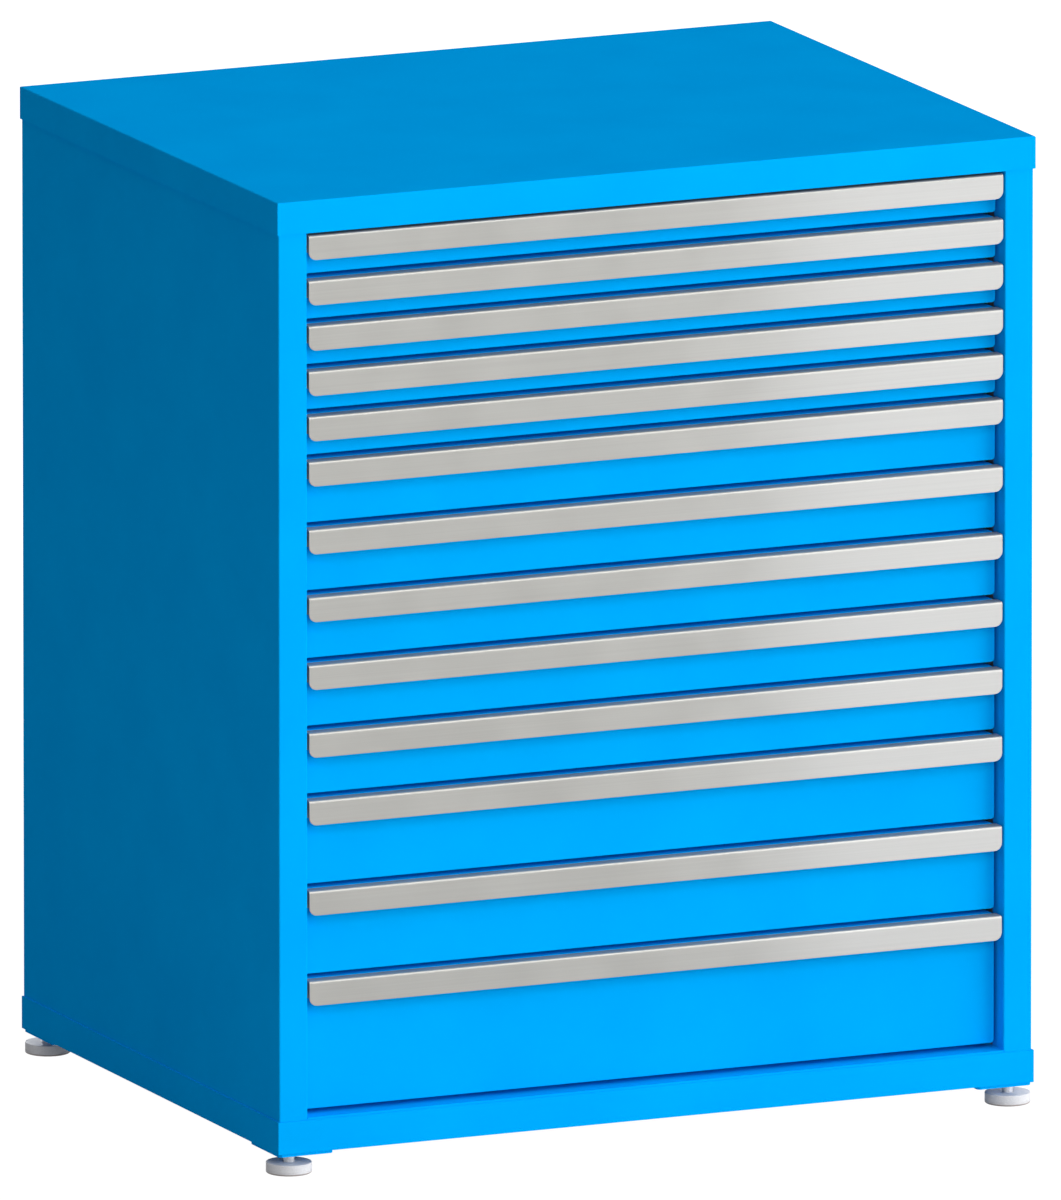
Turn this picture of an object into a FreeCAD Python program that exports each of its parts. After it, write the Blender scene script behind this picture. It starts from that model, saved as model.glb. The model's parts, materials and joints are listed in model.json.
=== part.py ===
import FreeCAD, Part
import math
import os
import re

import Sketcher

# Modular drawer cabinet: a folded steel housing on four levelling feet, with full-width drawers on
# telescopic slides. Millimetres, +Z up, +X to the right, the drawers open towards -Y.
# The origin lies on the floor, under the centre of the housing.

doc = FreeCAD.newDocument("DrawerCabinet")
sizes = doc.addObject("Spreadsheet::Sheet", "Sizes")

driving = [
    ("coverWidth", 914.4, "width over the rims of the top cover and the base"),
    ("coverDepth", 711.2, "depth over the same rims"),
    ("coverSheet", 1.9, "sheet of the top cover and the base"),
    ("rimHeight", 36.5, "height of the rims round the top cover and the base"),
    ("baseLip", 45.0, "width of the lip folded in under the base"),
    ("panelSheet", 1.5, "sheet of the side panels, the back and the floor"),
    ("stileWidth", 34.0, "face of the front stile, from the side panel's outer face"),
    ("stileReturn", 30.0, "depth of the stile's inner return"),
    ("stileBend", 1.5, "outer bend radius of the stile"),
    ("rearFlange", 22.0, "flange that carries the back panel"),
    ("sillHeight", 38.8, "cabinet floor above the underside of the base"),
    ("sillFlange", 30.0, "fold of the floor behind the base's front rim"),
    ("headerLip", 14.0, "lip folded in under the top cover's front rim"),
    ("coverBend", 1.5, "outer bend radius of the top cover"),
    ("holePitch", 25.4, "pitch of the slots in the uprights"),
    ("topGap", 3.5, "opening's upper edge to the first handle"),
    ("sillGap", 0.6, "cabinet floor to the lowest drawer's pitch line"),
    ("frontGap", 5.1, "between a drawer front and the next handle"),
    ("handleEndGap", 2.6, "handle's end to the stile"),
    ("handleFace", 27.6, "height of the handle's face"),
    ("handleSheet", 2.0, "wall of the handle"),
    ("handleDepth", 18.5, "handle's face to the drawer front behind it"),
    ("handleLeg", 22.0, "height of the handle's leg on the drawer front"),
    ("handleBend", 3.0, "outer radius along the handle's upper edge"),
    ("handleCorner", 9.0, "round of the face's lower corners"),
    ("frontSideGap", 3.8, "drawer front's edge to the stile"),
    ("frontSheet", 1.2, "sheet of the drawer front"),
    ("frontReturn", 12.0, "depth of the drawer front's folded edge"),
    ("frontShelf", 27.0, "depth of the drawer front's upper fold"),
    ("frontCorner", 4.0, "round of the drawer front's corners"),
    ("traySheet", 1.0, "sheet of the drawer's tray"),
    ("trayDrop", 6.0, "tray's upper edge below the handle's top"),
    ("trayBackGap", 30.0, "tray's rear wall to the back of the cabinet"),
    ("trayClearance", 1.8, "tray's wall to the slide's lips"),
    ("railHeight", 38.0, "height of the fixed rail"),
    ("railDepth", 15.2, "fixed rail's back to its lips"),
    ("railSheet", 1.5, "sheet of the fixed rail and the carriage"),
    ("railLip", 4.0, "lips that hold the next member in"),
    ("railBottom", 3.5, "fixed rail above the drawer front's lower edge"),
    ("railFrontGap", 5.0, "drawer front's folded edge to the rail's end"),
    ("railEndGap", 3.0, "rail's rear end inside the rear upright"),
    ("carriageSetback", 43.0, "by how much carriage and runner are shorter than the rail"),
    ("slideGap", 0.4, "running clearance between the slide's members"),
    ("runnerSheet", 1.2, "sheet of the drawer's runner"),
    ("postReveal", 0.7, "upright's slotted face behind the stile's edge"),
    ("postWidth", 40.0, "slotted face of an upright"),
    ("postSheet", 2.0, "sheet of the uprights"),
    ("postFrontGap", 1.0, "stile's return to the front upright"),
    ("postRearGap", 2.0, "rear upright to the flange behind it"),
    ("slotWidth", 10.0, "slot in an upright"),
    ("slotHeight", 9.0, "height of that slot"),
    ("hookWidth", 8.0, "width of a rail's hook"),
    ("hookSheet", 3.0, "thickness of a rail's hook"),
    ("hookDrop", 4.0, "hook's reach below the slot's edge"),
    ("hookOffset", 6.0, "lower hook above the rail's bottom"),
    ("hookGap", 0.3, "hook behind the upright's sheet"),
    ("footHeight", 25.0, "underside of the base above the floor"),
    ("footInset", 22.0, "foot's centre inside the rims"),
    ("padWidth", 50.8, "foot pad across"),
    ("padHeight", 12.0, "height of the foot pad"),
    ("padRing", 3.2, "lower ring of the pad, below the groove"),
    ("padGroove", 0.7, "depth and height of the pad's groove"),
    ("padEdge", 1.5, "round of the pad's lower edge"),
    ("padCrown", 0.8, "round of the pad's upper edge"),
    ("padFloor", 4.0, "pad's floor under the stud"),
    ("studWidth", 12.7, "stud across"),
    ("studTop", 56.0, "top of the stud above the floor"),
    ("studEdge", 1.2, "chamfer of the stud's upper end"),
    ("studClearance", 0.05, "stud in its nut and in its pad, each side"),
    ("bracketSheet", 3.5, "corner bracket"),
    ("bracketWidth", 65.0, "bracket along the front"),
    ("bracketDepth", 80.0, "bracket along the side"),
    ("bracketInset", 2.0, "bracket inside the rims"),
    ("bracketCorner", 3.0, "bracket's corners cut off"),
    ("nutWidth", 19.0, "nut welded to the bracket, across its flats"),
    ("nutHeight", 10.5, "height of that nut"),
    ("nutHole", 25.0, "hole in the base's lip round the nut"),
]

# each drawer's height in slots, from the top one down
drawerUnits = [2, 2, 2, 2, 2, 3, 3, 3, 3, 3, 4, 4, 6]
totalUnits = sum(drawerUnits)

for row, (alias, number, note) in enumerate(driving, start=1):
    sizes.set(f"A{row}", note)
    sizes.set(f"B{row}", str(number))
    sizes.setAlias(f"B{row}", alias)
doc.recompute()

# places that several pieces share, worked out from the driving sizes
sideX = "(coverWidth / 2 - coverSheet)"
innerX = f"({sideX} - panelSheet)"
openX = f"({sideX} - stileWidth)"
railX = f"({openX} + postReveal)"
trayX = f"({railX} - railDepth - trayClearance)"
frontX = f"({openX} - frontSideGap)"
frontY = "(coverSheet - coverDepth / 2)"
backY = "(coverDepth / 2 - coverSheet)"
flangeY = f"({backY} - panelSheet)"
insideBackY = f"({flangeY} - panelSheet)"
shoulderY = f"({frontY} + stileReturn)"
panelY = f"({frontY} + handleDepth)"
railFrontY = f"({panelY} + frontReturn + railFrontGap)"
frontPostY = f"({shoulderY} + postFrontGap)"
rearPostY = f"({insideBackY} - postRearGap - postWidth)"
railRearY = f"({rearPostY} + postWidth - railEndGap)"
railLength = f"({railRearY} - {railFrontY})"
lipTop = "(footHeight + coverSheet)"
floorTop = "(footHeight + sillHeight)"
drawerZero = f"({floorTop} + sillGap)"
openingTop = f"({drawerZero} + {totalUnits} * holePitch + topGap)"
coverUnder = f"({openingTop} + rimHeight - coverSheet)"
footX = "(coverWidth / 2 - footInset)"
footY = "(coverDepth / 2 - footInset)"

nodes = []


def bound(text):
    """The expression with each size's name led by the sheet's."""
    return re.sub(r"[A-Za-z]\w*", lambda word: "Sizes." + word.group(), text)


def value(text):
    """The number that an expression of sizes comes to."""
    return float(sizes.evalExpression(bound(text)))


def bind(thing, prop, text):
    thing.setExpression(prop, bound(text))


def newBody(name, height=None, isNode=True):
    """A body under its node's name, at a height above the floor."""
    body = doc.addObject("PartDesign::Body", name)
    body.Label = name
    if height:
        bind(body, "Placement.Base.z", height)
    if isNode:
        nodes.append(body)
    return body


def rectangle(left, right, low, high):
    return [(left, low), (right, low), (right, high), (left, high)]


def cutRectangle(left, right, low, high, cut):
    """A rectangle with its corners cut off at 45 degrees."""
    return [
        (f"{left} + {cut}", low),
        (f"{right} - {cut}", low),
        (right, f"{low} + {cut}"),
        (right, f"{high} - {cut}"),
        (f"{right} - {cut}", high),
        (f"{left} + {cut}", high),
        (left, f"{high} - {cut}"),
        (left, f"{low} + {cut}"),
    ]


def mirrored(corners):
    return [(f"-({across})", up) for across, up in corners]


def bothSides(corners):
    return [corners, mirrored(corners)]


def drawLoop(corners, geometry, constraints, places):
    """Straight lines through the corners, each corner held by its two distances from the origin."""
    first = len(geometry)
    points = [FreeCAD.Vector(value(across), value(up), 0) for across, up in corners]
    for index, point in enumerate(points):
        following = (index + 1) % len(points)
        geometry.append(Part.LineSegment(point, points[following]))
        constraints.append(Sketcher.Constraint("Coincident", first + index, 2, first + following, 1))
    for index, (across, up) in enumerate(corners):
        constraints.append(Sketcher.Constraint("DistanceX", -1, 1, first + index, 1, points[index].x))
        places.append((len(constraints) - 1, across))
        constraints.append(Sketcher.Constraint("DistanceY", -1, 1, first + index, 1, points[index].y))
        places.append((len(constraints) - 1, up))


def drawCircle(across, up, radius, geometry, constraints, places):
    """A circle held by its centre's two distances from the origin and its radius."""
    item = len(geometry)
    centre = FreeCAD.Vector(value(across), value(up), 0)
    geometry.append(Part.Circle(centre, FreeCAD.Vector(0, 0, 1), value(radius)))
    constraints.append(Sketcher.Constraint("DistanceX", -1, 1, item, 3, centre.x))
    places.append((len(constraints) - 1, across))
    constraints.append(Sketcher.Constraint("DistanceY", -1, 1, item, 3, centre.y))
    places.append((len(constraints) - 1, up))
    constraints.append(Sketcher.Constraint("Radius", item, value(radius)))
    places.append((len(constraints) - 1, radius))


def sketch(body, name, plane, loops=(), circles=(), offset=None):
    """Closed loops and circles on one of the body's own planes, moved along its normal by offset."""
    drawing = body.newObject("Sketcher::SketchObject", name)
    support = [item for item in body.Origin.OriginFeatures if item.Role == plane + "_Plane"][0]
    drawing.AttachmentSupport = [(support, "")]
    drawing.MapMode = "FlatFace"
    if offset:
        bind(drawing, "AttachmentOffset.Base.z", offset)
    geometry, constraints, places = [], [], []
    for corners in loops:
        drawLoop(corners, geometry, constraints, places)
    for across, up, radius in circles:
        drawCircle(across, up, radius, geometry, constraints, places)
    drawing.addGeometry(geometry, False)
    drawing.addConstraint(constraints)
    for index, text in places:
        # a distance that comes to nothing holds its point on the axis by itself
        if not re.fullmatch(r"[0.\s()-]*", text):
            bind(drawing, f"Constraints[{index}]", text)
    drawing.Visibility = False
    return drawing


def extrude(body, kind, name, drawing, length, backwards=False, middle=False):
    """A Pad or a Pocket of a sketch, measured to be sure that it adds or cuts."""
    doc.recompute()
    before = body.Shape.Volume if body.Tip else 0.0
    feature = body.newObject("PartDesign::" + kind, name)
    feature.Profile = drawing
    bind(feature, "Length", length)
    feature.SideType = "Symmetric" if middle else "One side"
    feature.Reversed = backwards
    body.Tip = feature
    doc.recompute()
    change = feature.Shape.Volume - before
    if (change > 0) != (kind == "Pad"):
        raise RuntimeError(f"{body.Label}: {name} changes nothing")
    return feature


def pad(body, name, drawing, length, backwards=False, middle=False):
    return extrude(body, "Pad", name, drawing, length, backwards, middle)


def pocket(body, name, drawing, length, backwards=False, middle=False):
    return extrude(body, "Pocket", name, drawing, length, backwards, middle)


def edgesWhere(shape, wanted):
    """Names of the edges whose two ends and middle all pass the test."""
    names = []
    for number, edge in enumerate(shape.Edges, start=1):
        middle = edge.valueAt((edge.FirstParameter + edge.LastParameter) / 2)
        points = [vertex.Point for vertex in edge.Vertexes] + [middle]
        if all(wanted(point) for point in points):
            names.append(f"Edge{number}")
    return names


def near(number, text):
    return abs(number - value(text)) < 0.001


def soften(body, kind, name, wanted, size):
    """Rounds or chamfers the chosen edges of the body's latest feature."""
    base = body.Tip
    names = edgesWhere(base.Shape, wanted)
    if not names:
        raise RuntimeError(f"{body.Label}: {name} finds no edge")
    feature = body.newObject("PartDesign::" + kind, name)
    feature.Base = (base, names)
    bind(feature, "Radius" if kind == "Fillet" else "Size", size)
    body.Tip = feature
    doc.recompute()
    if "Invalid" in feature.State:
        raise RuntimeError(f"{body.Label}: {name} fails")


def atCorners(across, back):
    """The four places at plus and minus across and back."""
    return [(f"{one} * {across}", f"{other} * {back}") for one in ("1", "-1") for other in ("1", "-1")]


def makeTopCover():
    """A flat pan turned upside down, its rims hanging over the housing."""
    body = newBody("top_cover", openingTop)
    outer = rectangle("-coverWidth / 2", "coverWidth / 2", "-coverDepth / 2", "coverDepth / 2")
    pad(body, "cover_block", sketch(body, "cover_outline", "XY", [outer]), "rimHeight")
    inner = rectangle(f"-{sideX}", sideX, frontY, backY)
    hollow = sketch(body, "cover_hollow", "XY", [inner])
    pocket(body, "cover_inside", hollow, "rimHeight - coverSheet", backwards=True)
    lip = rectangle(f"-{openX}", openX, frontY, f"{frontY} + headerLip")
    pad(body, "header_lip", sketch(body, "header_outline", "XY", [lip]), "coverSheet")

    def isUpper(point):
        return near(point.z, "rimHeight")

    soften(body, "Fillet", "cover_bends", isUpper, "coverBend")


def makeBaseFrame():
    """Rims like the cover's, with a lip folded in along the bottom and room in it for the nuts."""
    body = newBody("base_frame", "footHeight")
    outer = rectangle("-coverWidth / 2", "coverWidth / 2", "-coverDepth / 2", "coverDepth / 2")
    pad(body, "base_block", sketch(body, "base_outline", "XY", [outer]), "rimHeight")
    inner = rectangle(f"-{sideX}", sideX, frontY, backY)
    hollow = sketch(body, "base_hollow", "XY", [inner], offset="coverSheet")
    pocket(body, "base_inside", hollow, "rimHeight - coverSheet", backwards=True)
    lipX = "(coverWidth / 2 - baseLip)"
    lipY = "(coverDepth / 2 - baseLip)"
    opening = sketch(body, "lip_outline", "XY", [rectangle(f"-{lipX}", lipX, f"-{lipY}", lipY)])
    pocket(body, "lip_opening", opening, "coverSheet", backwards=True)
    holes = [(across, back, "nutHole / 2") for across, back in atCorners(footX, footY)]
    drawing = sketch(body, "nut_hole_outline", "XY", circles=holes)
    pocket(body, "nut_holes", drawing, "coverSheet", backwards=True)


def makeFloorPan():
    """The cabinet's floor, with a fold down behind the base's front rim."""
    body = newBody("floor_pan", f"{floorTop} - panelSheet")
    outline = [
        (f"-{openX}", frontY),
        (openX, frontY),
        (openX, shoulderY),
        (innerX, shoulderY),
        (innerX, insideBackY),
        (f"-{innerX}", insideBackY),
        (f"-{innerX}", shoulderY),
        (f"-{openX}", shoulderY),
    ]
    pad(body, "floor_plate", sketch(body, "floor_outline", "XY", [outline]), "panelSheet")
    fold = rectangle(f"-{openX}", openX, frontY, f"{frontY} + panelSheet")
    pad(body, "sill_fold", sketch(body, "sill_outline", "XY", [fold]), "sillFlange", backwards=True)


def makeSidePanel(name, side):
    """Side sheet, front stile with its return, and rear flange, folded from one sheet."""
    body = newBody(name, lipTop)
    corners = [
        (sideX, frontY),
        (sideX, flangeY),
        (f"{sideX} - rearFlange", flangeY),
        (f"{sideX} - rearFlange", insideBackY),
        (innerX, insideBackY),
        (innerX, f"{frontY} + panelSheet"),
        (f"{openX} + panelSheet", f"{frontY} + panelSheet"),
        (f"{openX} + panelSheet", shoulderY),
        (openX, shoulderY),
        (openX, frontY),
    ]
    profile = corners if side > 0 else mirrored(corners)
    pad(body, "panel_sheet", sketch(body, "panel_profile", "XY", [profile]), f"{coverUnder} - {lipTop}")

    def isStileEdge(point):
        return near(point.y, frontY) and (near(abs(point.x), sideX) or near(abs(point.x), openX))

    soften(body, "Fillet", "stile_bends", isStileEdge, "stileBend")


def makeBackPanel():
    """A flat sheet on the side panels' rear flanges."""
    body = newBody("back_panel")
    outline = rectangle(f"-{sideX}", sideX, lipTop, coverUnder)
    drawing = sketch(body, "back_outline", "XZ", [outline], offset=f"-{flangeY}")
    pad(body, "back_sheet", drawing, "panelSheet", backwards=True)


def makeUpright(name, side, frontOfPost):
    """A channel with a row of slots that faces the drawers."""
    body = newBody(name, floorTop)
    rearOfPost = f"{frontOfPost} + postWidth"
    corners = [
        (railX, frontOfPost),
        (innerX, frontOfPost),
        (innerX, f"{frontOfPost} + postSheet"),
        (f"{railX} + postSheet", f"{frontOfPost} + postSheet"),
        (f"{railX} + postSheet", f"{rearOfPost} - postSheet"),
        (innerX, f"{rearOfPost} - postSheet"),
        (innerX, rearOfPost),
        (railX, rearOfPost),
    ]
    profile = corners if side > 0 else mirrored(corners)
    pad(body, "channel", sketch(body, "channel_profile", "XY", [profile]), f"{coverUnder} - {floorTop}")
    middleY = f"{frontOfPost} + postWidth / 2"
    slotZ = "sillGap + frontGap + railBottom + hookOffset"
    slot = rectangle(f"{middleY} - slotWidth / 2", f"{middleY} + slotWidth / 2", slotZ, f"{slotZ} + slotHeight")
    lowest = pocket(body, "lowest_slot", sketch(body, "slot_outline", "YZ", [slot]), "coverWidth", middle=True)
    row = body.newObject("PartDesign::LinearPattern", "slot_row")
    row.Originals = [lowest]
    row.Direction = ([item for item in body.Origin.OriginFeatures if item.Role == "Z_Axis"][0], [""])
    row.Mode = "Spacing"
    bind(row, "Offset", "holePitch")
    row.Occurrences = totalUnits
    body.Tip = row
    doc.recompute()


def channelCorners(near0, far0, halfHeight, middle):
    """A C-channel with lips, from its web at near0 to its lips at far0, counted in from railX."""
    return [
        (f"{railX} - {near0}", f"{middle} - {halfHeight}"),
        (f"{railX} - {near0}", f"{middle} + {halfHeight}"),
        (f"{railX} - {far0}", f"{middle} + {halfHeight}"),
        (f"{railX} - {far0}", f"{middle} + {halfHeight} - railSheet - railLip"),
        (f"{railX} - {far0} + railSheet", f"{middle} + {halfHeight} - railSheet - railLip"),
        (f"{railX} - {far0} + railSheet", f"{middle} + {halfHeight} - railSheet"),
        (f"{railX} - {near0} - railSheet", f"{middle} + {halfHeight} - railSheet"),
        (f"{railX} - {near0} - railSheet", f"{middle} - {halfHeight} + railSheet"),
        (f"{railX} - {far0} + railSheet", f"{middle} - {halfHeight} + railSheet"),
        (f"{railX} - {far0} + railSheet", f"{middle} - {halfHeight} + railSheet + railLip"),
        (f"{railX} - {far0}", f"{middle} - {halfHeight} + railSheet + railLip"),
        (f"{railX} - {far0}", f"{middle} - {halfHeight}"),
    ]


def hookCorners(lowEdge):
    """A hook that rests on a slot's lower edge and drops behind the upright's sheet."""
    behind = f"{railX} + postSheet + hookGap"
    return [
        (railX, lowEdge),
        (behind, lowEdge),
        (behind, f"{lowEdge} - hookDrop"),
        (f"{behind} + hookSheet", f"{lowEdge} - hookDrop"),
        (f"{behind} + hookSheet", f"{lowEdge} + hookSheet"),
        (railX, f"{lowEdge} + hookSheet"),
    ]


def makeRailPattern(name, side):
    """One fixed rail with its four hooks, its underside at height zero."""
    body = newBody(name, isNode=False)
    channel = channelCorners("0", "railDepth", "railHeight / 2", "railHeight / 2")
    profile = channel if side > 0 else mirrored(channel)
    drawing = sketch(body, "rail_profile", "XZ", [profile], offset=f"-{railFrontY}")
    pad(body, "rail_channel", drawing, railLength, backwards=True)
    hooks = [hookCorners("hookOffset"), hookCorners("hookOffset + holePitch")]
    if side < 0:
        hooks = [mirrored(corners) for corners in hooks]
    for place, frontOfPost in (("front", frontPostY), ("rear", rearPostY)):
        middleY = f"({frontOfPost} + postWidth / 2)"
        drawing = sketch(body, f"{place}_hook_outline", "XZ", hooks, offset=f"-{middleY}")
        pad(body, f"{place}_hooks", drawing, "hookWidth", middle=True)
    return body


def makeCarriagePattern():
    """The pair of moving members between the fixed rails and one drawer's runners."""
    body = newBody("carriage_pair", isNode=False)
    web = "(railSheet + slideGap)"
    lips = "(railDepth - railSheet - slideGap)"
    halfHeight = "(railHeight / 2 - railSheet - slideGap)"
    loops = bothSides(channelCorners(web, lips, halfHeight, "railHeight / 2"))
    drawing = sketch(body, "carriage_profiles", "XZ", loops, offset=f"-{railFrontY}")
    pad(body, "carriage_channels", drawing, f"{railLength} - carriageSetback", backwards=True)
    return body


def placeCopies(name, pattern, heights):
    """Copies of one pattern at several heights above the lowest, as separate solids of a node."""
    copies = []
    for height in heights:
        piece = pattern.Shape.copy()
        piece.translate(FreeCAD.Vector(0, 0, height - heights[0]))
        copies.extend(piece.Solids)
    group = doc.addObject("Part::Feature", name)
    group.Label = name
    group.Shape = Part.makeCompound(copies)
    group.Placement = FreeCAD.Placement(FreeCAD.Vector(0, 0, heights[0]), FreeCAD.Rotation())
    nodes.append(group)


def runnerCorners():
    """The hat-shaped runner outside the tray's wall: two arms, and a web with feet behind the lips."""
    middle = "(frontGap + railBottom + railHeight / 2)"
    foot = "(railHeight / 2 - 2 * railSheet - 2 * slideGap)"
    arm = f"({foot} - railLip)"
    outer = f"{railX} - 2 * railSheet - 2 * slideGap"
    inner = f"{outer} - runnerSheet"
    return [
        (trayX, f"{middle} + {arm}"),
        (inner, f"{middle} + {arm}"),
        (inner, f"{middle} + {foot}"),
        (outer, f"{middle} + {foot}"),
        (outer, f"{middle} - {foot}"),
        (inner, f"{middle} - {foot}"),
        (inner, f"{middle} - {arm}"),
        (trayX, f"{middle} - {arm}"),
        (trayX, f"{middle} - {arm} + runnerSheet"),
        (inner, f"{middle} - {arm} + runnerSheet"),
        (inner, f"{middle} + {arm} - runnerSheet"),
        (trayX, f"{middle} + {arm} - runnerSheet"),
    ]


def makeDrawerBox(name, units, unitsBelow):
    """A drawer front with folded edges, the open tray behind it and its two runners."""
    body = newBody(name, f"{drawerZero} + {unitsBelow} * holePitch")
    top = f"({units} * holePitch)"
    face = rectangle(f"-{frontX}", frontX, "frontGap", top)
    drawing = sketch(body, "front_outline", "XZ", [face], offset=f"-{panelY}")
    pad(body, "front_block", drawing, "frontReturn", backwards=True)

    def isCorner(point):
        return near(abs(point.x), frontX) and (near(point.z, "frontGap") or near(point.z, top))

    soften(body, "Fillet", "front_corners", isCorner, "frontCorner")
    low = "(frontGap + frontSheet)"
    inside = rectangle(f"-{frontX} + frontSheet", f"{frontX} - frontSheet", low, f"{top} - frontSheet")
    drawing = sketch(body, "front_hollow", "XZ", [inside], offset=f"-({panelY} + frontSheet)")
    pocket(body, "front_inside", drawing, "frontReturn", backwards=False)
    shelf = rectangle(f"-{frontX} + frontCorner", f"{frontX} - frontCorner", f"{top} - frontSheet", top)
    drawing = sketch(body, "shelf_outline", "XZ", [shelf], offset=f"-{panelY}")
    pad(body, "front_shelf", drawing, "frontShelf", backwards=True)
    high = f"({top} - trayDrop)"
    section = [
        (f"-{trayX}", low),
        (trayX, low),
        (trayX, high),
        (f"{trayX} - traySheet", high),
        (f"{trayX} - traySheet", f"{low} + traySheet"),
        (f"-{trayX} + traySheet", f"{low} + traySheet"),
        (f"-{trayX} + traySheet", high),
        (f"-{trayX}", high),
    ]
    trayFront = f"({panelY} + frontSheet)"
    trayRear = f"({insideBackY} - trayBackGap)"
    drawing = sketch(body, "tray_section", "XZ", [section], offset=f"-{trayFront}")
    pad(body, "tray", drawing, f"{trayRear} - {trayFront}", backwards=True)
    wall = rectangle(f"-{trayX} + traySheet", f"{trayX} - traySheet", f"{low} + traySheet", high)
    drawing = sketch(body, "rear_wall_outline", "XZ", [wall], offset=f"-{trayRear}")
    pad(body, "rear_wall", drawing, "traySheet")
    drawing = sketch(body, "runner_sections", "XZ", bothSides(runnerCorners()), offset=f"-{railFrontY}")
    pad(body, "runners", drawing, f"{railLength} - carriageSetback", backwards=True)


def makeHandle(name, unitsTop):
    """A pull along the whole front: face, upper flange and the leg on the drawer front."""
    body = newBody(name, f"{drawerZero} + {unitsTop} * holePitch")
    corners = [
        (frontY, "-handleFace"),
        (frontY, "0"),
        (panelY, "0"),
        (panelY, "-handleLeg"),
        (f"{panelY} - handleSheet", "-handleLeg"),
        (f"{panelY} - handleSheet", "-handleSheet"),
        (f"{frontY} + handleSheet", "-handleSheet"),
        (f"{frontY} + handleSheet", "-handleFace"),
    ]
    drawing = sketch(body, "handle_section", "YZ", [corners])
    pad(body, "handle_strip", drawing, f"2 * ({openX} - handleEndGap)", middle=True)

    def isOuterBend(point):
        return near(point.z, "0") and (near(point.y, frontY) or near(point.y, panelY))

    def isInnerBend(point):
        isAcross = near(point.y, f"{frontY} + handleSheet") or near(point.y, f"{panelY} - handleSheet")
        return near(point.z, "-handleSheet") and isAcross

    def isLowerCorner(point):
        isEnd = near(abs(point.x), f"{openX} - handleEndGap")
        return isEnd and near(point.z, "-handleFace")

    soften(body, "Fillet", "outer_bends", isOuterBend, "handleBend")
    soften(body, "Fillet", "inner_bends", isInnerBend, "handleBend - handleSheet")
    soften(body, "Fillet", "lower_corners", isLowerCorner, "handleCorner")


def makeDrawers():
    carriages = makeCarriagePattern()
    rails = {"left": makeRailPattern("left_rail", -1), "right": makeRailPattern("right_rail", 1)}
    heights = []
    unitsTop = totalUnits
    for number, units in enumerate(drawerUnits, start=1):
        unitsBelow = unitsTop - units
        makeDrawerBox(f"drawer_{number:02d}_box", units, unitsBelow)
        makeHandle(f"drawer_{number:02d}_handle", unitsTop)
        height = value(f"{drawerZero} + {unitsBelow} * holePitch + frontGap + railBottom")
        placeCopies(f"drawer_{number:02d}_carriages", carriages, [height])
        heights.append(height)
        unitsTop = unitsBelow
    for side, pattern in rails.items():
        placeCopies(f"{side}_fixed_rails", pattern, heights)


def makeCornerBrackets():
    """Four plates under the base's corners, each with a nut for its foot."""
    body = newBody("corner_brackets", "footHeight - bracketSheet")
    outerX = "(coverWidth / 2 - bracketInset)"
    outerY = "(coverDepth / 2 - bracketInset)"
    corner = cutRectangle(f"{outerX} - bracketWidth", outerX, f"{outerY} - bracketDepth", outerY, "bracketCorner")
    plates = []
    nuts = []
    for one in ("1", "-1"):
        for other in ("1", "-1"):
            plates.append([(f"{one} * ({across})", f"{other} * ({back})") for across, back in corner])
            nuts.append(hexagon(f"{one} * {footX}", f"{other} * {footY}"))
    pad(body, "plates", sketch(body, "plate_outlines", "XY", plates), "bracketSheet")
    pad(body, "nuts", sketch(body, "nut_outlines", "XY", nuts, offset="bracketSheet"), "nutHeight")
    bores = [(across, back, "studWidth / 2 + studClearance") for across, back in atCorners(footX, footY)]
    drawing = sketch(body, "bore_outlines", "XY", circles=bores)
    pocket(body, "bores", drawing, "bracketSheet + nutHeight", backwards=True)


def hexagon(across, back):
    """A nut's outline about a centre, two of its flats square to the front."""
    corners = []
    for step in range(6):
        angle = math.radians(60 * step)
        reach = 1 / math.sqrt(3)
        corners.append((
            f"{across} + nutWidth * {reach * math.cos(angle):.6f}",
            f"{back} + nutWidth * {reach * math.sin(angle):.6f}",
        ))
    return corners


def turned(body, name, corners):
    """The outline, given as radius and height, turned about the body's own axis."""
    drawing = sketch(body, name + "_outline", "XZ", [corners])
    feature = body.newObject("PartDesign::Revolution", name)
    feature.Profile = drawing
    feature.ReferenceAxis = (drawing, ["V_Axis"])
    body.Tip = feature
    doc.recompute()


def makeFoot(place, across, back):
    """A pad with a groove round it, and the stud that screws into the bracket's nut."""
    footPad = newBody(f"foot_pad_{place}")
    bind(footPad, "Placement.Base.x", across)
    bind(footPad, "Placement.Base.y", back)
    rim = "padWidth / 2"
    socket = "studWidth / 2 + studClearance"
    turned(footPad, "pad_body", [
        ("0", "0"),
        (rim, "0"),
        (rim, "padRing"),
        (f"{rim} - padGroove", "padRing"),
        (f"{rim} - padGroove", "padRing + padGroove"),
        (rim, "padRing + padGroove"),
        (rim, "padHeight"),
        (socket, "padHeight"),
        (socket, "padFloor"),
        ("0", "padFloor"),
    ])

    def onRim(point):
        return near(math.hypot(point.x, point.y), rim)

    soften(footPad, "Fillet", "pad_edge", lambda point: onRim(point) and near(point.z, "0"), "padEdge")
    soften(footPad, "Fillet", "pad_crown", lambda point: onRim(point) and near(point.z, "padHeight"), "padCrown")

    stud = newBody(f"foot_stud_{place}")
    bind(stud, "Placement.Base.x", across)
    bind(stud, "Placement.Base.y", back)
    drawing = sketch(stud, "stud_outline", "XY", circles=[("0", "0", "studWidth / 2")], offset="padFloor")
    pad(stud, "stud_bar", drawing, "studTop - padFloor")
    soften(stud, "Chamfer", "stud_end", lambda point: near(point.z, "studTop"), "studEdge")


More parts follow.
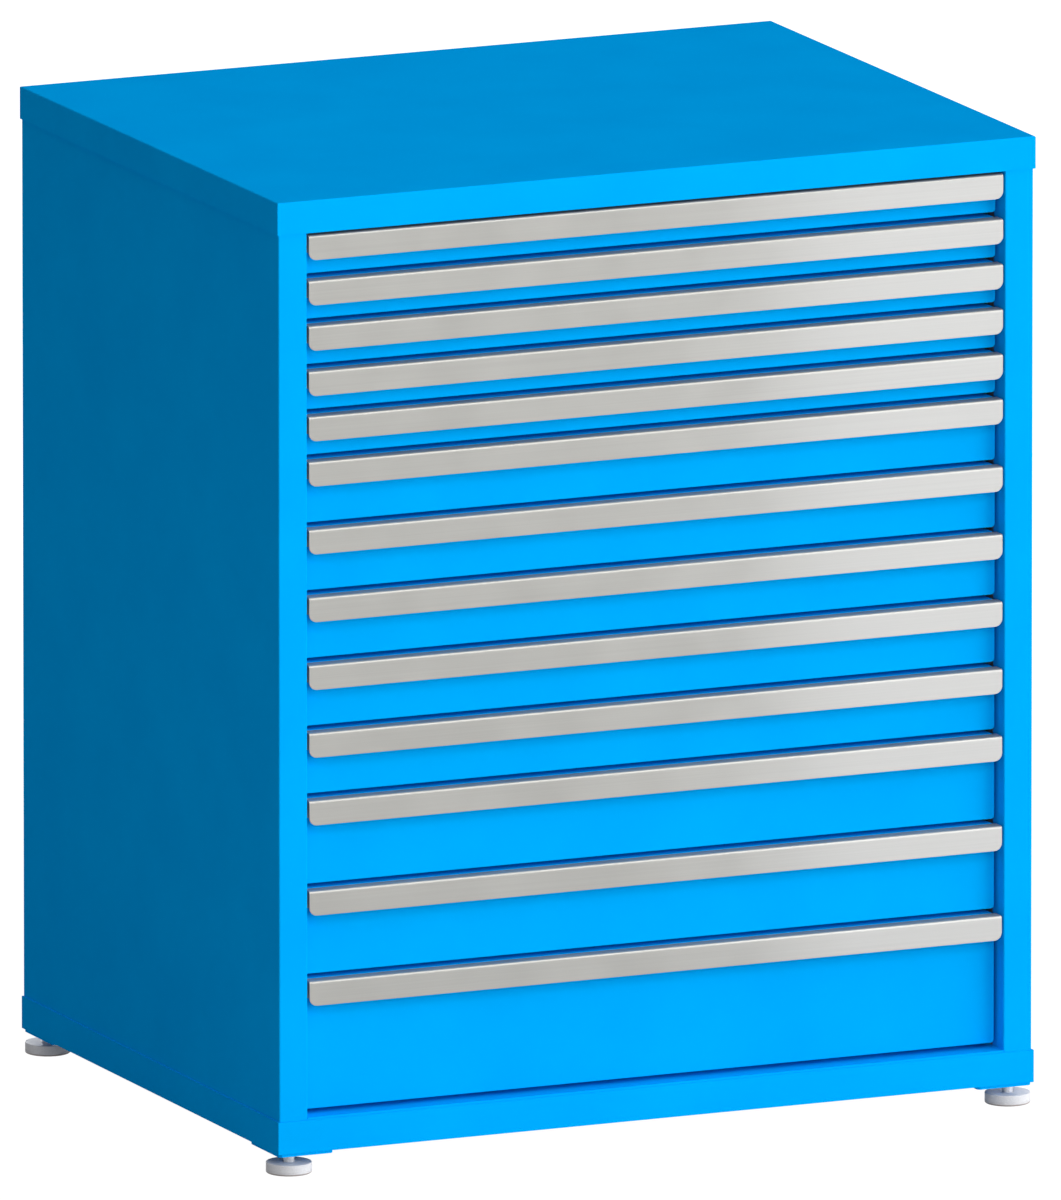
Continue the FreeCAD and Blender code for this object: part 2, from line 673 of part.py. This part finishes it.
def makeHousing():
    makeTopCover()
    makeBaseFrame()
    makeFloorPan()
    makeBackPanel()
    for side, sign in (("left", -1), ("right", 1)):
        makeSidePanel(f"{side}_side_panel", sign)
        makeUpright(f"front_{side}_upright", sign, frontPostY)
        makeUpright(f"rear_{side}_upright", sign, rearPostY)
    makeCornerBrackets()


def makeFeet():
    for end, sign in (("front", "-"), ("rear", "")):
        makeFoot(f"{end}_left", f"-{footX}", f"{sign}{footY}")
        makeFoot(f"{end}_right", footX, f"{sign}{footY}")


def checkAll():
    """Every object recomputed without a fault, and every node a valid shape."""
    for thing in doc.Objects:
        if "Invalid" in thing.State or "Error" in thing.State:
            raise RuntimeError(f"{thing.Label} failed: {thing.State}")
    for node in nodes:
        if node.Shape.isNull() or not node.Shape.isValid() or not node.Shape.Solids:
            raise RuntimeError(f"{node.Label} has no valid solid")


def exportAll():
    os.makedirs("parts", exist_ok=True)
    for node in nodes:
        node.Shape.exportStep(f"parts/{node.Label}.step")
        print(f"{node.Label}: {len(node.Shape.Solids)} solids, {node.Shape.Volume / 1000:.1f} cm3")


makeHousing()
makeFeet()
makeDrawers()
doc.recompute()
checkAll()
exportAll()
print(f"{len(nodes)} nodes, {value(openingTop + ' + rimHeight'):.1f} mm high")
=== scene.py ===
import json
import math

import bpy
import numpy as np
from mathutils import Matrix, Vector


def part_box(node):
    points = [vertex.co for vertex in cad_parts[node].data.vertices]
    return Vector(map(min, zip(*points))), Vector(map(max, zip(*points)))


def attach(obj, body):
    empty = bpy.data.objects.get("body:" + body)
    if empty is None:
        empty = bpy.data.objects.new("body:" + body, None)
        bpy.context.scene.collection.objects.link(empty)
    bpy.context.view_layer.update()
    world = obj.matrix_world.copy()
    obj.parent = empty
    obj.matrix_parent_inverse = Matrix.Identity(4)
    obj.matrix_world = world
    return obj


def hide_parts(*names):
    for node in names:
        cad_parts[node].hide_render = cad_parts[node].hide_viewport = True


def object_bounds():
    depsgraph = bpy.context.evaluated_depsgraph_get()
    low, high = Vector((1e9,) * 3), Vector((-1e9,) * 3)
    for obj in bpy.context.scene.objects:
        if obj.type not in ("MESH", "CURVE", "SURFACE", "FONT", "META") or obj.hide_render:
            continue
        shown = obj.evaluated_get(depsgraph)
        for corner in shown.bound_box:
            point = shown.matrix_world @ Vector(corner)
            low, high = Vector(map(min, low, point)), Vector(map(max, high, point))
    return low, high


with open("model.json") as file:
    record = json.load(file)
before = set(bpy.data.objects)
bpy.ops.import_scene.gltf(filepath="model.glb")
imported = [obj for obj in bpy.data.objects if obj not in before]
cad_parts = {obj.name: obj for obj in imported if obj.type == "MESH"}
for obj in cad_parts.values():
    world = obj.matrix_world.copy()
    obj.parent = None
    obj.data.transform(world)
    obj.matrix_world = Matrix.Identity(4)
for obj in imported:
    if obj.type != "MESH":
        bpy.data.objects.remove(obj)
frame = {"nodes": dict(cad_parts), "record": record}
nodes = frame["nodes"]
cadLow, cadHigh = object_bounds()
middle = (cadLow + cadHigh) / 2


# shader helpers

noiseBand = (0.3, 0.7)  # most of a noise's values lie between these
fineDetail = 1.0  # detail of the finest noises: one finer layer over the base


def newMaterial(name):
    material = bpy.data.materials.new(name)
    material.use_nodes = True
    tree = material.node_tree
    return material, tree, tree.nodes["Principled BSDF"]


def objectPlace(tree, scale=(1.0, 1.0, 1.0)):
    # the piece's own coordinates, in metres, times a scale along each axis
    place = tree.nodes.new("ShaderNodeTexCoord")
    mapping = tree.nodes.new("ShaderNodeMapping")
    mapping.inputs["Scale"].default_value = scale
    tree.links.new(place.outputs["Object"], mapping.inputs["Vector"])
    return mapping.outputs["Vector"]


def noise(tree, place, scale, detail=2.0):
    texture = tree.nodes.new("ShaderNodeTexNoise")
    texture.inputs["Scale"].default_value = scale
    texture.inputs["Detail"].default_value = detail
    tree.links.new(place, texture.inputs["Vector"])
    return texture.outputs["Fac"]


def spread(tree, source, low, high, band=noiseBand):
    # the source's values within the band drawn out to low and high
    node = tree.nodes.new("ShaderNodeMapRange")
    node.inputs["From Min"].default_value = band[0]
    node.inputs["From Max"].default_value = band[1]
    node.inputs["To Min"].default_value = low
    node.inputs["To Max"].default_value = high
    tree.links.new(source, node.inputs["Value"])
    return node.outputs["Result"]


def twoTones(tree, source, dark, light):
    ramp = tree.nodes.new("ShaderNodeValToRGB")
    for element, position, tone in zip(ramp.color_ramp.elements, noiseBand, (dark, light)):
        element.position = position
        element.color = (*tone, 1.0)
    tree.links.new(source, ramp.inputs["Fac"])
    return ramp.outputs["Color"]


def bump(tree, height, depth, before=None):
    # depth is in metres
    node = tree.nodes.new("ShaderNodeBump")
    node.inputs["Strength"].default_value = 1.0
    node.inputs["Distance"].default_value = depth
    tree.links.new(height, node.inputs["Height"])
    if before:
        tree.links.new(before, node.inputs["Normal"])
    return node.outputs["Normal"]


# finishes, one dictionary each

bluePaint = {
    "dark": (0.0, 0.392, 0.955),
    "light": (0.0, 0.418, 0.99),
    "mottlePerMetre": 9.0,
    "mottleDetail": 3.0,
    "peelPerMetre": 420.0,  # orange peel, about 2.4 mm across
    "peelDepth": 0.000012,
    "grainPerMetre": 2600.0,
    "grainDepth": 0.000003,
    "roughness": (0.44, 0.54),
    "gloss": 0.0,  # a dead matt powder coat, which mirrors nothing; roughness shows once this is raised
}

brushedMetal = {
    "dark": (0.353, 0.349, 0.33),
    "light": (0.375, 0.371, 0.351),
    "metallic": 0.3,
    "stretch": (3.0, 900.0, 900.0),  # brush strokes run along the pull
    "strokeDetail": 4.0,
    "cloudPerMetre": 14.0,
    "strokeDepth": 0.0000025,
    "roughness": (0.3, 0.42),
}

zincPlate = {
    "dark": (0.32, 0.33, 0.345),
    "light": (0.43, 0.44, 0.455),
    "metallic": 0.6,
    "flakePerMetre": 160.0,
    "grainPerMetre": 1500.0,
    "grainDepth": 0.000004,
    "roughness": (0.34, 0.48),
}

studPlate = {
    "dark": (0.47, 0.48, 0.5),
    "light": (0.63, 0.64, 0.655),
    "metallic": 0.6,
    "flakePerMetre": 160.0,
    "grainPerMetre": 1500.0,
    "grainDepth": 0.000004,
    "roughness": (0.3, 0.44),
}

footPlate = {
    "dark": (0.65, 0.65, 0.67),
    "light": (0.75, 0.75, 0.77),
    "lowEdgeShadeTint": (0.5, 0.44, 0.41),  # painted shade along the pad's lower edge, as a share of the tones above
    "lowEdgeShadeHeight": (0.0008, 0.003),  # the painted shade fades out within these heights
    "gloss": 0.3,
    "grainPerMetre": 900.0,
    "grainDepth": 0.000006,
    "roughness": (0.44, 0.56),
}


def makeBluePaint(look):
    material, tree, shader = newMaterial("bluePaint")
    place = objectPlace(tree)
    mottle = noise(tree, place, look["mottlePerMetre"], look["mottleDetail"])
    peel = noise(tree, place, look["peelPerMetre"], fineDetail)
    grain = noise(tree, place, look["grainPerMetre"], fineDetail)
    tree.links.new(twoTones(tree, mottle, look["dark"], look["light"]), shader.inputs["Base Color"])
    tree.links.new(spread(tree, peel, *look["roughness"]), shader.inputs["Roughness"])
    relief = bump(tree, peel, look["peelDepth"])
    tree.links.new(bump(tree, grain, look["grainDepth"], relief), shader.inputs["Normal"])
    shader.inputs["Specular IOR Level"].default_value = look["gloss"]
    return material


def makeBrushedMetal(look):
    material, tree, shader = newMaterial("brushedMetal")
    strokes = noise(tree, objectPlace(tree, look["stretch"]), 1.0, look["strokeDetail"])
    clouds = noise(tree, objectPlace(tree), look["cloudPerMetre"])
    tree.links.new(twoTones(tree, strokes, look["dark"], look["light"]), shader.inputs["Base Color"])
    tree.links.new(spread(tree, clouds, *look["roughness"]), shader.inputs["Roughness"])
    tree.links.new(bump(tree, strokes, look["strokeDepth"]), shader.inputs["Normal"])
    shader.inputs["Metallic"].default_value = look["metallic"]
    return material


def makePlating(name, look):
    material, tree, shader = newMaterial(name)
    place = objectPlace(tree)
    flakes = noise(tree, place, look["flakePerMetre"])
    grain = noise(tree, place, look["grainPerMetre"], fineDetail)
    tree.links.new(twoTones(tree, flakes, look["dark"], look["light"]), shader.inputs["Base Color"])
    tree.links.new(spread(tree, flakes, *look["roughness"]), shader.inputs["Roughness"])
    tree.links.new(bump(tree, grain, look["grainDepth"]), shader.inputs["Normal"])
    shader.inputs["Metallic"].default_value = look["metallic"]
    return material


def makeFootPlate(look):
    material, tree, shader = newMaterial("footPlate")
    place = objectPlace(tree)
    grain = noise(tree, place, look["grainPerMetre"])
    split = tree.nodes.new("ShaderNodeSeparateXYZ")
    tree.links.new(place, split.inputs[0])
    # painted shade: the pad's tones darken towards its lower edge, within the heights given
    rise = spread(tree, split.outputs["Z"], 0.0, 1.0, look["lowEdgeShadeHeight"])
    paintedLowEdgeShade = twoTones(tree, rise, look["lowEdgeShadeTint"], (1.0, 1.0, 1.0))
    tone = tree.nodes.new("ShaderNodeVectorMath")
    tone.operation = "MULTIPLY"
    tree.links.new(twoTones(tree, grain, look["dark"], look["light"]), tone.inputs[0])
    tree.links.new(paintedLowEdgeShade, tone.inputs[1])
    tree.links.new(tone.outputs[0], shader.inputs["Base Color"])
    tree.links.new(spread(tree, grain, *look["roughness"]), shader.inputs["Roughness"])
    tree.links.new(bump(tree, grain, look["grainDepth"]), shader.inputs["Normal"])
    shader.inputs["Specular IOR Level"].default_value = look["gloss"]
    return material


paint = makeBluePaint(bluePaint)
metal = makeBrushedMetal(brushedMetal)
zinc = makePlating("zincPlate", zincPlate)
studFinish = makePlating("studPlate", studPlate)
footFinish = makeFootPlate(footPlate)

finishOfSlot = {
    "blue_paint": paint,
    "brushed_aluminium": metal,
    "zinc_steel": zinc,
    "foot_pad": footFinish,
    "stud_steel": studFinish,
}

for part in frame["record"]["subparts"]:
    node = nodes[part["node"]]
    finish = finishOfSlot[part["material_slot"]]
    if not node.material_slots:
        node.data.materials.append(finish)
    for materialSlot in node.material_slots:
        materialSlot.material = finish
print("finishes on", len(nodes), "nodes")


# mesh helpers

def meshFromRings(name, rings):
    # rings is an array of rows, columns and xyz: each row is a closed ring, and a pole at its mean point
    # closes the first ring and the last
    rows, columns = rings.shape[:2]
    points = np.concatenate([rings.reshape(-1, 3), [rings[0].mean(0), rings[-1].mean(0)]])
    row, column = np.meshgrid(np.arange(rows - 1), np.arange(columns), indexing="ij")
    following = (column + 1) % columns
    quads = np.stack([
        row * columns + column,
        row * columns + following,
        (row + 1) * columns + following,
        (row + 1) * columns + column,
    ], axis=-1).reshape(-1, 4)
    around = np.arange(columns)
    beside = (around + 1) % columns
    firstPole = np.full(columns, rows * columns)
    lastRow = (rows - 1) * columns
    lowFan = np.stack([firstPole, beside, around], axis=-1)
    highFan = np.stack([firstPole + 1, lastRow + around, lastRow + beside], axis=-1)
    mesh = bpy.data.meshes.new(name)
    mesh.from_pydata(points.tolist(), [], quads.tolist() + lowFan.tolist() + highFan.tolist())
    return mesh


def addPiece(name, mesh, finish, body):
    piece = bpy.data.objects.new(name, mesh)
    bpy.context.scene.collection.objects.link(piece)
    mesh.materials.append(finish)
    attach(piece, body)
    return piece


# threaded studs

stud = {
    "pitch": 0.0018,
    "depth": 0.0009,
    "plainTop": 0.021,  # below this the stud is smooth
    "columns": 32,
    "rowsPerTurn": 8,
    "chamfer": 0.0012,
}


def studRings(low, high, look):
    # radius = full radius less the thread's depth times a triangle wave of height over pitch, less the share
    # of a full turn; the wave grows from nothing above the plain shank, and each end is chamfered
    radius = (high.x - low.x) / 2
    length = high.z - low.z
    rows = int(length / look["pitch"] * look["rowsPerTurn"])
    height = np.linspace(low.z, high.z, rows)[:, None]
    angle = (np.arange(look["columns"]) / look["columns"])[None, :]
    wave = np.abs(2 * ((height / look["pitch"] - angle) % 1.0) - 1.0)
    grown = np.clip((height - look["plainTop"]) / look["pitch"], 0.0, 1.0)
    fromEnd = np.minimum(height - low.z, high.z - height)
    cut = np.clip(look["chamfer"] - fromEnd, 0.0, None)
    reach = radius - np.maximum(look["depth"] * wave * grown, cut)
    turn = 2 * math.pi * angle
    across = (low.x + high.x) / 2 + reach * np.cos(turn)
    back = (low.y + high.y) / 2 + reach * np.sin(turn)
    return np.stack([across, back, np.broadcast_to(height, reach.shape)], axis=-1)


def makeStuds():
    for place in ("front_left", "front_right", "rear_left", "rear_right"):
        name = "foot_stud_" + place
        mesh = meshFromRings(name, studRings(*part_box(name), stud))
        piece = addPiece("threaded_stud_" + place, mesh, studFinish, "foot_" + place)
        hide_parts(name)


makeStuds()
print("studs threaded")


# screws that hold the back panel

screw = {
    "radius": 0.0045,
    "height": 0.0019,
    "socket": 0.0016,  # half the hexagon across its corners
    "socketDepth": 0.0012,
    "count": 7,
    "columns": 36,
    "inset": 0.011,
    "endGap": 0.06,
    "domeRows": 6,
    "domeShare": 0.72,  # how much of the quarter ellipse the head keeps
}


def screwRings(centre, look):
    # profile of radius and rise: rim, dome from part of a quarter ellipse, then down into the socket, whose
    # ring is a hexagon: corner radius times cos 30 over cos of the angle from the middle of its flat
    turn = 2 * math.pi * np.arange(look["columns"]) / look["columns"]
    hexagon = math.cos(math.pi / 6) / np.cos(turn % (math.pi / 3) - math.pi / 6)
    dome = np.linspace(0.0, 1.0, look["domeRows"]) * math.pi / 2 * look["domeShare"]
    domeRadius = look["radius"] * np.cos(dome)
    domeRise = look["height"] * np.sin(dome) / math.sin(dome[-1])
    outer = domeRadius[:, None] * np.ones_like(turn)
    socket = np.ones((2, 1)) * look["socket"] * hexagon
    reach = np.concatenate([outer, socket])
    rise = np.concatenate([domeRise, [look["height"], look["height"] - look["socketDepth"]]])
    x = centre.x + reach * np.cos(turn)
    z = centre.z - reach * np.sin(turn)
    y = centre.y + rise[:, None] + np.zeros_like(x)
    return np.stack([x, y, z], axis=-1)


def makeBackScrews():
    low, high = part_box("back_panel")
    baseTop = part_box("base_frame")[1].z
    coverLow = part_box("top_cover")[0].z
    heights = np.linspace(baseTop + screw["endGap"], coverLow - screw["endGap"], screw["count"])
    for side, across in (("left", low.x + screw["inset"]), ("right", high.x - screw["inset"])):
        for number, height in enumerate(heights, start=1):
            name = f"back_screw_{side}_{number}"
            rings = screwRings(Vector((across, high.y, height)), screw)
            addPiece(name, meshFromRings(name, rings), zinc, "cabinet")


makeBackScrews()
print("back screws set")


# floor, light and camera

stage = {
    "floorHalf": 30.0,
    "floorColour": (0.5, 0.5, 0.5),
    "floorWhite": 1.165,  # what the camera and mirrors see of the floor, mixed with its shaded colour
    "floorWhiteNear": 0.86,  # share of that white beside the cabinet, where the shadow shows
    "shadowReach": (1.0, 2.6),  # between these distances from the origin the share grows to all of it
    "ambient": (0.192, 0.192, 0.194),
}

lamps = {
    "overhead": {
        "azimuth": 20.0, "elevation": 86.0, "distance": 5.0, "wide": 4.2, "tall": 4.2, "level": 0.212,
    },
    "frontLow": {
        "azimuth": -30.0, "elevation": 5.0, "distance": 9.0, "wide": 5.0, "tall": 2.5, "level": 0.13,
    },
    "frontMid": {
        "azimuth": 0.0, "elevation": 25.0, "distance": 9.0, "wide": 5.0, "tall": 5.0, "level": 0.325,
    },
    "rightLow": {
        "azimuth": 45.0, "elevation": 3.0, "distance": 14.0, "wide": 8.0, "tall": 4.0, "level": 0.465,
    },
    "rightMid": {
        "azimuth": 50.0, "elevation": 35.0, "distance": 14.0, "wide": 8.0, "tall": 8.0, "level": 0.155,
    },
    "farRight": {
        "azimuth": 80.0, "elevation": 5.0, "distance": 14.0, "wide": 8.0, "tall": 4.0, "level": 0.45,
    },
    "fillBack": {
        "azimuth": 165.0, "elevation": 6.0, "distance": 9.0, "wide": 5.0, "tall": 2.5, "level": 0.3,
    },
}

# panels that only gloss and metal mirror: one lights the right ends of the pulls, one their upper edges;
# facing is the way from what they light back to them
mirrorPanels = {
    "pullEnds": {
        "centre": (0.578, -0.7, 0.57), "facing": (0.0, -1.0, 0.0), "wide": 0.543, "tall": 1.1,
        "brightness": 1.7, "colour": (0.97, 1.0, 1.12),
    },
    "pullEdges": {
        "centre": (2.3, -4.85, 6.2), "facing": (2.3, -4.85, 5.6), "wide": 4.0, "tall": 4.0,
        "brightness": 5.0, "colour": (1.0, 0.99, 0.97),
    },
}

photoView = {
    "azimuth": -24.0,
    "elevation": 12.0,
    "frameHeight": 1.331,  # how much of the scene's height the picture takes in
    "aimRight": 0.0044,
    "aimUp": -0.0056,
    "lens": 1500.0,  # so long that the view comes close to the photo's orthographic one
    "sensor": 36.0,
    "clipEnd": 200.0,
}


def towards(azimuth, elevation):
    # unit vector from the object to a viewer at this azimuth and elevation, in degrees
    side, rise = math.radians(azimuth), math.radians(elevation)
    return Vector((math.sin(side) * math.cos(rise), -math.cos(side) * math.cos(rise), math.sin(rise)))


def seenDirectly(tree):
    # 1 for rays of the camera, of mirrors and of glass
    path = tree.nodes.new("ShaderNodeLightPath")
    total = path.outputs["Is Camera Ray"]
    for kind in ("Is Glossy Ray", "Is Transmission Ray"):
        joined = tree.nodes.new("ShaderNodeMath")
        joined.operation = "MAXIMUM"
        tree.links.new(total, joined.inputs[0])
        tree.links.new(path.outputs[kind], joined.inputs[1])
        total = joined.outputs[0]
    return total


def makeFloor():
    half = stage["floorHalf"]
    mesh = bpy.data.meshes.new("floor")
    corners = [(-half, -half, 0.0), (half, -half, 0.0), (half, half, 0.0), (-half, half, 0.0)]
    mesh.from_pydata(corners, [], [(0, 1, 2, 3)])
    floor = bpy.data.objects.new("floor", mesh)
    bpy.context.scene.collection.objects.link(floor)
    material, tree, shader = newMaterial("paleFloor")
    shader.inputs["Base Color"].default_value = (*stage["floorColour"], 1.0)
    shader.inputs["Roughness"].default_value = 1.0
    shader.inputs["Specular IOR Level"].default_value = 0.0
    glow = tree.nodes.new("ShaderNodeEmission")
    glow.inputs["Strength"].default_value = stage["floorWhite"]
    away = tree.nodes.new("ShaderNodeVectorMath")
    away.operation = "LENGTH"
    tree.links.new(objectPlace(tree), away.inputs[0])
    whiteness = spread(tree, away.outputs["Value"], stage["floorWhiteNear"], 1.0, stage["shadowReach"])
    share = tree.nodes.new("ShaderNodeMath")
    share.operation = "MULTIPLY"
    tree.links.new(whiteness, share.inputs[0])
    tree.links.new(seenDirectly(tree), share.inputs[1])
    mix = tree.nodes.new("ShaderNodeMixShader")
    tree.links.new(share.outputs[0], mix.inputs[0])
    tree.links.new(shader.outputs[0], mix.inputs[1])
    tree.links.new(glow.outputs[0], mix.inputs[2])
    tree.links.new(mix.outputs[0], tree.nodes["Material Output"].inputs["Surface"])
    mesh.materials.append(material)


def makeWorld():
    world = bpy.data.worlds.new("paleRoom")
    world.use_nodes = True
    tree = world.node_tree
    ambient = tree.nodes["Background"]
    ambient.inputs["Color"].default_value = (*stage["ambient"], 1.0)
    white = tree.nodes.new("ShaderNodeBackground")
    white.inputs["Color"].default_value = (1.0, 1.0, 1.0, 1.0)
    mix = tree.nodes.new("ShaderNodeMixShader")
    tree.links.new(seenDirectly(tree), mix.inputs[0])
    tree.links.new(ambient.outputs[0], mix.inputs[1])
    tree.links.new(white.outputs[0], mix.inputs[2])
    tree.links.new(mix.outputs[0], tree.nodes["World Output"].inputs["Surface"])
    bpy.context.scene.world = world


def addLamp(name, look, place, facing, energy):
    light = bpy.data.lights.new(name, "AREA")
    light.shape = "RECTANGLE"
    light.size = look["wide"]
    light.size_y = look["tall"]
    light.energy = energy
    lamp = bpy.data.objects.new(name, light)
    lamp.location = place
    lamp.rotation_euler = facing.to_track_quat("Z", "Y").to_euler()
    lamp.visible_camera = False
    bpy.context.scene.collection.objects.link(lamp)
    return lamp


def makeLamps():
    # a lamp's power is its level times the square of pi times its distance, so a lamp that is moved away
    # lights the cabinet as before
    for name, look in lamps.items():
        direction = towards(look["azimuth"], look["elevation"])
        energy = look["level"] * (math.pi * look["distance"]) ** 2
        addLamp(name, look, middle + direction * look["distance"], direction, energy)


def makeMirrorPanels():
    # a panel's power is its brightness times pi and its area, so a larger panel mirrors no brighter
    for name, look in mirrorPanels.items():
        energy = look["brightness"] * math.pi * look["wide"] * look["tall"]
        lamp = addLamp(name, look, look["centre"], Vector(look["facing"]), energy)
        lamp.data.color = look["colour"]
        lamp.visible_diffuse = False


def makeCamera():
    data = bpy.data.cameras.new("camera")
    camera = bpy.data.objects.new("camera", data)
    bpy.context.scene.collection.objects.link(camera)
    direction = towards(photoView["azimuth"], photoView["elevation"])
    turn = direction.to_track_quat("Z", "Y")
    right = turn @ Vector((1.0, 0.0, 0.0))
    up = turn @ Vector((0.0, 1.0, 0.0))
    aim = middle + right * photoView["aimRight"] + up * photoView["aimUp"]
    distance = photoView["frameHeight"] * photoView["lens"] / photoView["sensor"]
    camera.location = aim + direction * distance
    camera.rotation_mode = "QUATERNION"
    camera.rotation_quaternion = turn
    data.lens = photoView["lens"]
    data.sensor_width = photoView["sensor"]
    data.clip_end = photoView["clipEnd"]
    bpy.context.scene.camera = camera


makeFloor()
makeWorld()
makeLamps()
makeMirrorPanels()
makeCamera()
bpy.context.scene.view_settings.view_transform = "Standard"
print("floor, light and camera ready")
